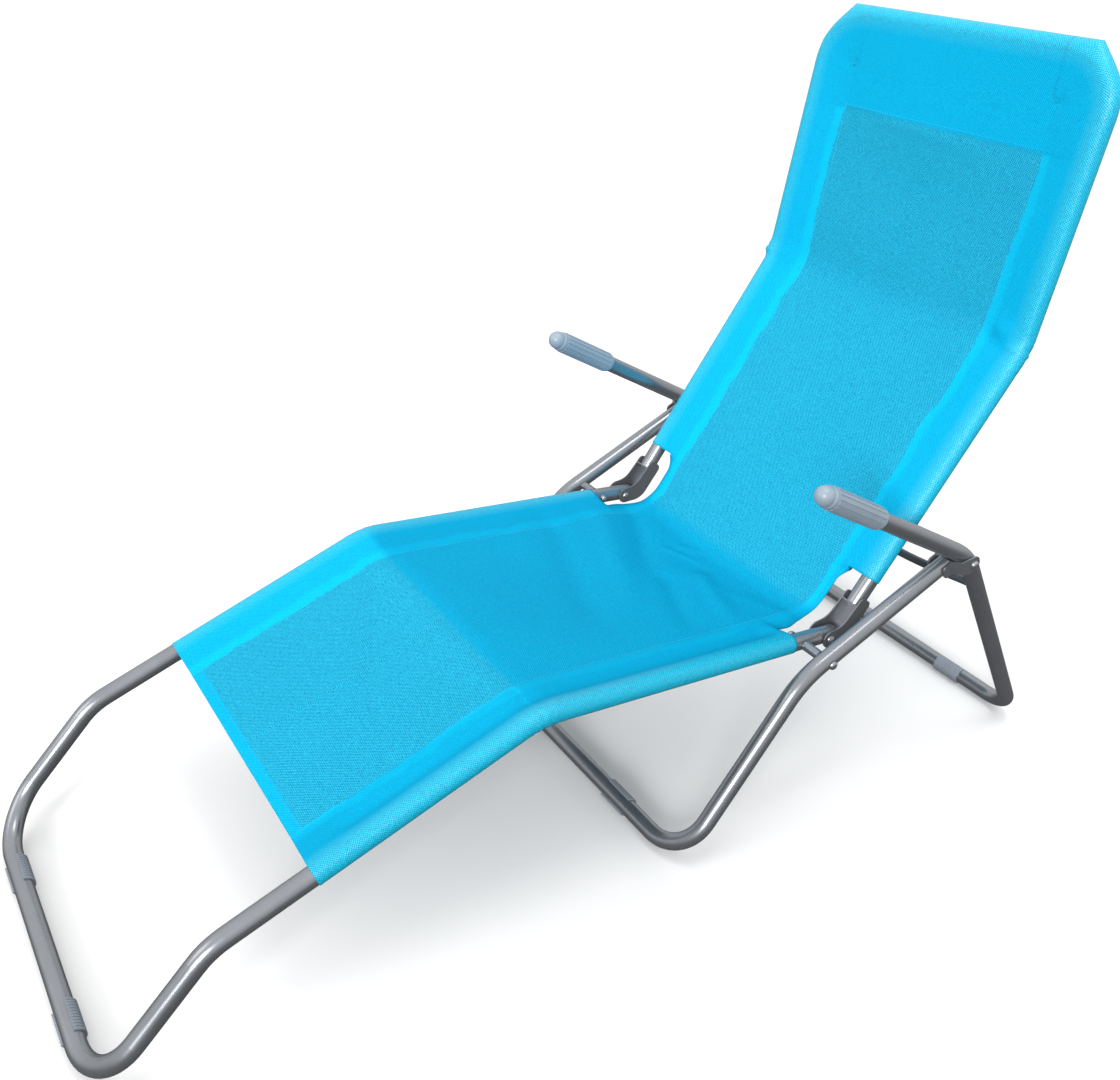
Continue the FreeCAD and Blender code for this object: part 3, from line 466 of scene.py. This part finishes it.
# Where the cloth is bunched at the kink and the knee: side, s, distance in from the tube, height, reach along the
# run and reach across it.
BUNCHES = [
    (1, S_KINK + 13, 33, 4.5, 13, 15), (1, S_KINK - 4, 46, -2.0, 14, 18), (1, S_KINK - 14, 26, -2.0, 9, 12),
    (1, S_KINK - 7, 4, 1.8, 6, 9), (-1, S_KINK + 1, -12, 5.0, 7, 12), (-1, S_KINK + 13, -6, 2.0, 8, 12),
    (-1, S_KINK - 12, -4, -1.5, 8, 12), (-1, S_KINK + 4, 34, 2.4, 16, 16), (1, S_KNEE + 6, 30, -2.0, 18, 16),
    (-1, S_KNEE + 2, 30, 1.6, 14, 14),
]
# The dip that runs beside each tube below the hinge.
NEAR_DIP, FAR_DIP, DIP_INSET, DIP_REACH = -9.0, -2.0, 31, 12


def bunch(side, s, inset):
    """How far the bunched cloth stands off its smooth shape, beside a tube."""
    along = smooth(s, 10, 90) * (0.8 + 0.2 * smooth(s, S_KNEE + 10, S_KNEE + 90))
    along *= 1 - smooth(s, S_SEAT_END - 30, S_SEAT_END)
    total = (NEAR_DIP if side > 0 else FAR_DIP) * along * bell(inset - DIP_INSET, DIP_REACH)
    for at_side, at_s, at_inset, height, reach_along, reach_across in BUNCHES:
        if at_side == side:
            total += height * bell(s - at_s, reach_along) * bell(inset - at_inset, reach_across)
    return total


# ------------------------------------------------------------------ the cloth as one mesh
class Cloth:
    """Vertices found by name, so that neighbouring patches share their edges."""

    def __init__(self):
        self.points, self.taut, self.uvs, self.names, self.faces = [], [], [], {}, []

    def vertex(self, key, point, uv, taut=0.0):
        if key not in self.names:
            self.names[key] = len(self.points)
            self.points.append(point)
            self.uvs.append((uv[0] * MM, uv[1] * MM))
            self.taut.append(taut)
        return self.names[key]

    def face(self, *corners):
        """Add a face, without corners that fall together."""
        kept = [v for k, v in enumerate(corners) if v != corners[k - 1]]
        if len(set(kept)) >= 3:
            self.faces.append(kept)

    def build(self, name):
        mesh = bpy.data.meshes.new(name)
        mesh.from_pydata([tuple(p) for p in self.points], [], self.faces)
        layer = mesh.uv_layers.new(name="cloth")
        for loop in mesh.loops:
            layer.data[loop.index].uv = self.uvs[loop.vertex_index]
        attribute = mesh.attributes.new("taut", "FLOAT", "POINT")
        attribute.data.foreach_set("value", self.taut)
        mesh.polygons.foreach_set("use_smooth", [True] * len(mesh.polygons))
        mesh.validate()
        mesh.update()
        made = bpy.data.objects.new(name, mesh)
        bpy.context.scene.collection.objects.link(made)
        return made


def stations(*stops):
    """Row positions between the stops, evenly spaced in each stretch, every stop included."""
    rows = [stops[0]]
    for a, b in zip(stops, stops[1:]):
        count = max(1, round((b - a) / STEP))
        rows += [a + (b - a) * k / count for k in range(1, count + 1)]
    return rows


# A band leaves the seam as two plies, PLY above and below the middle, and wraps round its tube. TANGENT is the
# angle at which it meets the tube, CUT the share of the band that is left beside the hinge.
CUT = 0.45
CORNER_STEPS = 16
TANGENT = math.acos(CLOTH_TO_TUBE / BAND)
TOUCH = CLOTH_TO_TUBE * math.cos(TANGENT)
RISE = CLOTH_TO_TUBE * math.sin(TANGENT)
TOP_SHARES = [0.0, 0.15, 0.30, CUT, 0.58, 0.72, 0.86, 1.0]
WRAP_STEPS = 18
WRAPPED = 2 * CLOTH_TO_TUBE * (math.pi - TANGENT)
WRAP = [(math.pi - TANGENT) * (1 - 2 * k / WRAP_STEPS) for k in range(1, WRAP_STEPS)]
PLY = 0.55
HINGE_EDGE_X = 204.0
# How far a pucker swells its sleeve and gathers it on one face, and how deep a dent may be beside the seam: the
# room shrinks to nothing at the tube, so that no dent reaches it.
SLEEVE_PUFF, GATHER_SHARE, ROOM_AT_SEAM = 0.25, 0.04, 30.0


def notch_edge(s):
    """How far from the middle the cloth's edge lies beside the hinge."""
    drawn_in, bulge, flare = 9.0, 3.0, 10.0
    edge = HINGE_EDGE_X - drawn_in * smooth(s, S_SEAT_END + 25, S_CORNER)
    edge += bulge * bell(s - S_SEAT_END - 30, 18)
    return edge + flare * smooth(s, S_BACK_START - 26, S_BACK_START)


def band_profile(s, side=0):
    """(key, distance in from the tube's line, height, flat distance) round one side, from seam to seam."""
    radius = CLOTH_TO_TUBE + SLEEVE_PUFF * max(0.0, pucker(s))
    reach, rise = radius * math.cos(TANGENT), radius * math.sin(TANGENT)
    shape = []
    for share in TOP_SHARES:
        inset = BAND + (reach - BAND) * share
        room_above_tube = ROOM_AT_SEAM * (1 - share)
        puffed = max(bunch(side, s, inset) * smooth(share, 0, 0.2), -room_above_tube)
        shape.append((("top", share), inset, PLY + (rise - PLY) * share + puffed, BAND * (1 - share)))
    for k, angle in enumerate(WRAP):
        gather = radius * (1 + GATHER_SHARE * max(0.0, pucker(s) * math.cos(angle)))
        gather += max(0.0, bunch(side, s, -radius * math.cos(angle))) * smooth(angle, -1.2, 0.4)
        shape.append((("wrap", k), -gather * math.cos(angle), gather * math.sin(angle),
                      -radius * (math.pi - TANGENT - angle)))
    for share in reversed(TOP_SHARES):
        shape.append((("low", share), BAND + (reach - BAND) * share, -PLY - (rise - PLY) * share,
                      -2 * radius * (math.pi - TANGENT) - BAND * (1 - share)))
    return shape


cloth = Cloth()
COLUMNS = round(2 * CORNER_X / STEP)
MIDDLE_X = [-SEAM_X, -CORNER_X]
MIDDLE_X += [-CORNER_X + 2 * CORNER_X * k / COLUMNS for k in range(1, COLUMNS + 1)]
MIDDLE_X += [SEAM_X]
ROWS = stations(0.0, FOOT_HEM, S_KNEE, S_SEAT_END, S_BACK_START, S_KINK, S_POCKET - 1, S_POCKET, S_HEAD_CORNER,
                S_HEAD_SEAM)


def lean(distance, reach):
    """1 where the cloth touches its tube, falling to 0 at the far edge of the band."""
    return max(0.0, min(1.0, (reach - distance) / (reach - TOUCH)))


def union(first, second):
    """How far either of two leanings lifts the cloth, 1 at most."""
    return 1 - (1 - first) * (1 - second)


def front_lift(s, x):
    """How far the front ply stands off the tubes' plane in the head pocket, which has rounded corners."""
    x = abs(x)
    if x > CORNER_X and s > S_HEAD_CORNER:
        radius = math.hypot(x - CORNER_X, s - S_HEAD_CORNER)
        share = smooth(math.atan2(s - S_HEAD_CORNER, x - CORNER_X), 0, math.pi / 2)
        beside = union(lean(CORNER_RADIUS, POCKET), lean(CORNER_RADIUS - radius, BAND))
        above = union(lean(CORNER_RADIUS - radius, POCKET), lean(CORNER_RADIUS, BAND))
        return (RISE - PLY) * (beside * (1 - share) + above * share)
    return (RISE - PLY) * union(lean(S_HEAD - s, POCKET), lean(BED_HALF - x, BAND))


PLY_STEP = 0.3


def middle_height(s, x):
    """How far the middle of the cloth lies off the tubes' plane."""
    edge_of_ply = PLY_STEP * (1 - smooth(s, S_POCKET - 1, S_POCKET))
    return PLY - edge_of_ply + sag(s, x) + crease_height(s, x) + front_lift(s, x)


def middle_vertex(s, x):
    """A vertex of the cloth between the two side bands."""
    return cloth.vertex(("mid", s, x), place(s, x, middle_height(s, x)), (x, s))


for s0, s1 in zip(ROWS, ROWS[1:]):
    for x0, x1 in zip(MIDDLE_X, MIDDLE_X[1:]):
        cloth.face(middle_vertex(s0, x0), middle_vertex(s0, x1), middle_vertex(s1, x1), middle_vertex(s1, x0))


def tautness(key):
    """1 on the part of a sleeve that is pulled round its tube."""
    kind, share = key
    return 1.0 if kind == "wrap" else smooth(share, 0.72, 1.0)


NOTCH_BLEND = 10


def side_vertex(side, s, key, inset, height, flat, in_notch):
    """A vertex of a side band, whose first column is the middle's own edge."""
    kind, share = key
    if key == ("top", 0.0):
        return middle_vertex(s, side * SEAM_X)
    free = 1 - share if kind != "wrap" else 0.0
    if in_notch and kind != "wrap":
        x = SEAM_X + (notch_edge(s) - SEAM_X) * share / CUT
        from_sleeve = min(s - S_SEAT_END, S_BACK_START - s)
        level = PLY if kind == "top" else -PLY
        height += (level - height) * smooth(from_sleeve, 0, NOTCH_BLEND)
        inset = BED_HALF - x
    if kind == "low" and s > S_POCKET:
        height -= front_lift(s, SEAM_X) * free
    else:
        height += (middle_height(s, side * SEAM_X) - PLY) * free
    return cloth.vertex((kind, share, side, s), place(s, side * (BED_HALF - inset), height),
                        (side * (BED_HALF - flat), s), tautness(key))


for side in (1, -1):
    for s0, s1 in zip(ROWS, ROWS[1:]):
        if s1 > S_HEAD_CORNER + TINY:
            continue
        in_notch = s0 >= S_SEAT_END - TINY and s1 <= S_BACK_START + TINY
        columns = []
        for s in (s0, s1):
            at_rim = in_notch and s in (S_SEAT_END, S_BACK_START)
            columns.append([side_vertex(side, s, *entry, in_notch and not at_rim)
                            for entry in band_profile(s, side)])
        keys = [entry[0] for entry in band_profile(s0)]
        if in_notch:
            top_cut, low_cut = keys.index(("top", CUT)), keys.index(("low", CUT))
            pairs = [(k, k + 1) for k in range(top_cut)] + [(top_cut, low_cut)]
            pairs += [(k, k + 1) for k in range(low_cut, len(keys) - 1)]
        else:
            pairs = [(k, k + 1) for k in range(len(keys) - 1)]
        for a, b in pairs:
            corners = (columns[0][a], columns[0][b], columns[1][b], columns[1][a])
            cloth.face(*(corners if side > 0 else reversed(corners)))


# The head bar's sleeve, swept round both corners, is the same profile with its seam at the middle's edge.
def head_frames():
    """(name, foot on the tube's line, inward direction, seam point) round the head, in (x, s)."""
    found = []
    for k in range(CORNER_STEPS + 1):
        angle = math.pi / 2 * k / CORNER_STEPS
        seam = (SEAM_X, S_HEAD_SEAM)
        if k == 0:
            seam = (SEAM_X, S_HEAD_CORNER)
        if k == CORNER_STEPS:
            seam = (CORNER_X, S_HEAD_SEAM)
        out = Vector((math.cos(angle), math.sin(angle)))
        foot = Vector((CORNER_X, S_HEAD_CORNER)) + out * CORNER_RADIUS
        found.append((("corner", 1, k), foot, -out, seam))
    for k, x in enumerate(sorted(MIDDLE_X[2:-2], reverse=True)):
        found.append((("bar", k), Vector((x, S_HEAD)), Vector((0, -1)), (x, S_HEAD_SEAM)))
    for k in range(CORNER_STEPS, -1, -1):
        _, foot, inward, seam = found[k]
        found.append((("corner", -1, k), Vector((-foot.x, foot.y)), Vector((-inward.x, inward.y)),
                      (-seam[0], seam[1])))
    return found


def back_ply_vertex(s, x):
    """A vertex of the pocket's back ply, whose flat place lies past the head bar's wrap."""
    return cloth.vertex(("back", s, x), place(s, x, -PLY - front_lift(s, x)), (x, 2 * S_HEAD - s + WRAPPED))


SIDE_EAR = 0.25
EAR_TAPER = 1.5
EAR_FLATNESS = 0.35


def ear(turn):
    """How far the cloth stands out beyond the tube at an angle round the head corner, which is sewn in flats."""
    flat = math.pi / 4
    off = abs((turn + flat / 2) % flat - flat / 2)
    sharpness = 1.0 if turn > flat else SIDE_EAR
    return sharpness * (CORNER_RADIUS + CLOTH_TO_TUBE) * (1 / math.cos(off) - 1)


def head_column(name, foot, inward, seam):
    """The vertices round the head bar's sleeve at one of the head frames, from seam to seam."""
    made = []
    at_corner = name[0] == "corner"
    side = name[1] if at_corner else 0
    stand_out = ear(math.pi / 2 * name[2] / CORNER_STEPS) if at_corner else 0.0
    for key, inset, height, flat in band_profile(S_HEAD):
        kind, share = key
        if at_corner and name[2] == 0 and key != ("top", 0.0):
            made.append(cloth.names[kind, share, side, S_HEAD_CORNER])
            continue
        if key == ("top", 0.0):
            made.append(middle_vertex(seam[1], seam[0]))
            continue
        if key == ("low", 0.0):
            made.append(back_ply_vertex(seam[1], seam[0]))
            continue
        if kind == "wrap":
            outward = max(0.0, -inset / CLOTH_TO_TUBE)
            spot = foot + inward * (inset - stand_out * outward ** EAR_TAPER)
            height *= 1 - EAR_FLATNESS * outward * stand_out / CLOTH_TO_TUBE
        else:
            spot = Vector(seam).lerp(foot + inward * TOUCH, share)
            height = (PLY + front_lift(spot.y, spot.x)) * (1 if kind == "top" else -1)
            height += sag(spot.y, spot.x) * (1 - smooth(share, 0, 1))
        uv = (spot.x, S_HEAD - flat)
        if at_corner:
            uv = (side * (BED_HALF - flat), S_HEAD_CORNER + CORNER_RADIUS * math.pi / 2 * name[2] / CORNER_STEPS)
        made.append(cloth.vertex(("head", name, key), place(spot.y, spot.x, height), uv, tautness(key)))
    return made


columns = [head_column(*entry) for entry in head_frames()]
for first, second in zip(columns, columns[1:]):
    for k in range(len(first) - 1):
        cloth.face(first[k], first[k + 1], second[k + 1], second[k])

# The pocket's back ply, behind the head end, from its hem up to the bar's sleeve.
POCKET_ROWS = [s for s in ROWS if s >= S_POCKET - TINY]


def pocket_vertex(s, x):
    """A vertex of the back ply, which shares the side bands' seams."""
    if abs(x) == SEAM_X and s <= S_HEAD_CORNER + TINY:
        return cloth.names[("low", 0.0, 1 if x > 0 else -1, s)]
    return back_ply_vertex(s, x)


for s0, s1 in zip(POCKET_ROWS, POCKET_ROWS[1:]):
    for x0, x1 in zip(MIDDLE_X, MIDDLE_X[1:]):
        cloth.face(pocket_vertex(s0, x1), pocket_vertex(s0, x0), pocket_vertex(s1, x0), pocket_vertex(s1, x1))

sling = cloth.build("mesh_sling")
sling.data.materials.append(CLOTH)
thicken = sling.modifiers.new("cloth_thickness", "SOLIDIFY")
thicken.thickness = CLOTH_THICKNESS * MM
thicken.offset = 0.0


# ------------------------------------------------------------------ stitches
def stitch_line(points, length=3.0, gap=1.6, radius=0.28):
    """Short threads along a line of points, each a six-sided spindle, as vertices and faces in metres."""
    sides = 6
    vertices, faces = [], []
    travelled, next_start = 0.0, 0.0
    for a, b in zip(points, points[1:]):
        run = b - a
        distance = run.length
        while next_start < travelled + distance:
            start = a + run * ((next_start - travelled) / distance)
            direction = run.normalized()
            end = start + direction * length * MM
            u = direction.orthogonal().normalized()
            v = direction.cross(u)
            base = len(vertices)
            vertices.append(start)
            for share in (0.25, 0.75):
                centre = start.lerp(end, share)
                for k in range(sides):
                    angle = math.tau * k / sides
                    vertices.append(centre + (u * math.cos(angle) + v * math.sin(angle)) * radius * MM)
            vertices.append(end)
            first_ring, second_ring, tip = base + 1, base + 1 + sides, base + 1 + 2 * sides
            for k in range(sides):
                n = (k + 1) % sides
                faces.append((base, first_ring + n, first_ring + k))
                faces.append((first_ring + k, first_ring + n, second_ring + n, second_ring + k))
                faces.append((second_ring + k, second_ring + n, tip))
            next_start += (length + gap) * MM
        travelled += distance
    return vertices, faces


def stitching():
    """One row of stitches beside each side seam, one in the pocket's edge and one in the foot's hem."""
    off_seam, off_pocket, off_hem = 2.0, 3.0, 2.0
    seam_height, hem_height = 0.5, 0.55
    lines = []
    for side in (1, -1):
        x = side * (SEAM_X - off_seam)
        lines.append([place(s, x, middle_height(s, x) + seam_height) for s in ROWS if s <= S_POCKET])
    for s in (S_POCKET + off_pocket, FOOT_HEM - off_hem):
        lines.append([place(s, x, middle_height(s, x) + hem_height) for x in MIDDLE_X])
    vertices, faces = [], []
    for line in lines:
        more, tied = stitch_line(line)
        faces += [tuple(k + len(vertices) for k in face) for face in tied]
        vertices += more
    mesh = bpy.data.meshes.new("sling_stitching")
    mesh.from_pydata([tuple(v) for v in vertices], [], faces)
    mesh.polygons.foreach_set("use_smooth", [True] * len(mesh.polygons))
    mesh.materials.append(THREAD)
    mesh.update()
    made = bpy.data.objects.new("sling_stitching", mesh)
    bpy.context.scene.collection.objects.link(made)
    return made


stitches = stitching()

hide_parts("sling_seat", "sling_back")
for piece in (sling, stitches):
    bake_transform(piece)

# ------------------------------------------------------------------ floor, light and camera
scene = bpy.context.scene


def studio():
    """A plain pale floor, a white sky that fades towards the floor, and three soft lights."""
    size = 60.0
    gain_overhead, horizon, underneath = 0.42, 0.72, 0.12
    fades_by = -0.35
    mesh = bpy.data.meshes.new("studio_floor")
    mesh.from_pydata([(-size, -size, 0), (size, -size, 0), (size, size, 0), (-size, size, 0)], [], [(0, 1, 2, 3)])
    floor = bpy.data.objects.new("studio_floor", mesh)
    scene.collection.objects.link(floor)
    material, tree, shader = new_material("studio_floor", Roughness=0.9, Specular_IOR_Level=0.1)
    shader.inputs["Base Color"].default_value = (0.93, 0.93, 0.93, 1.0)
    mesh.materials.append(material)
    # The floor takes shadows but throws no light back up, so the underside keeps its contrast.
    floor.visible_glossy = False
    floor.visible_diffuse = False

    world = bpy.data.worlds.new("studio_world")
    scene.world = world
    world.use_nodes = True
    tree = world.node_tree
    background = tree.nodes["Background"]
    background.inputs[0].default_value = (1.0, 1.0, 1.0, 1.0)
    height = tree.nodes.new("ShaderNodeSeparateXYZ")
    tree.links.new(tree.nodes.new("ShaderNodeTexCoord").outputs["Generated"], height.inputs[0])
    above = ranged(tree, height.outputs[2], 0.0, gain_overhead)
    below = ranged(tree, height.outputs[2], underneath, horizon, fades_by, 0.0)
    tree.links.new(math_node(tree, "ADD", above, below), background.inputs[1])

    # Name, kind, place and aim in metres, the sun's angle or the lamp's size, and energy.
    for name, kind, place_at, aim, width, energy in (
            ("key", "SUN", (2.2, -3.0, 1.8), (0, 0, 0.4), math.radians(18), 2.2),
            ("front", "AREA", (-0.9, -3.2, 1.9), (0, 0.3, 0.9), 1.6, 16),
            ("top", "AREA", (0.5, 0.2, 3.3), (0, 0, 0.4), 1.0, 18)):
        light = bpy.data.lights.new(name, kind)
        light.energy = energy
        if kind == "SUN":
            light.angle = width
        else:
            light.shape, light.size = "SQUARE", width
        lamp = bpy.data.objects.new(name, light)
        lamp.location = place_at
        lamp.rotation_mode = "QUATERNION"
        lamp.rotation_quaternion = (Vector(aim) - Vector(place_at)).to_track_quat("-Z", "Y")
        scene.collection.objects.link(lamp)


def add_camera():
    """The camera at the chair's near front, above it, by its right and ahead directions."""
    data = bpy.data.cameras.new("view")
    data.sensor_width = 36.0
    data.lens = 36.29
    data.shift_x, data.shift_y = 0.021, 0.020
    data.clip_start, data.clip_end = 0.05, 60.0
    camera = bpy.data.objects.new("view", data)
    position = (1.0997, -0.7742, 1.1748)
    right = Vector((0.53849, 0.84149, 0.04393)).normalized()
    ahead = Vector((-0.70580, 0.47891, -0.52200)).normalized()
    up = right.cross(ahead).normalized()
    turn = Matrix((right, up, -ahead)).transposed().to_4x4()
    camera.matrix_world = Matrix.Translation(position) @ turn
    scene.collection.objects.link(camera)
    scene.camera = camera


studio()
add_camera()
scene.view_settings.view_transform = "Standard"
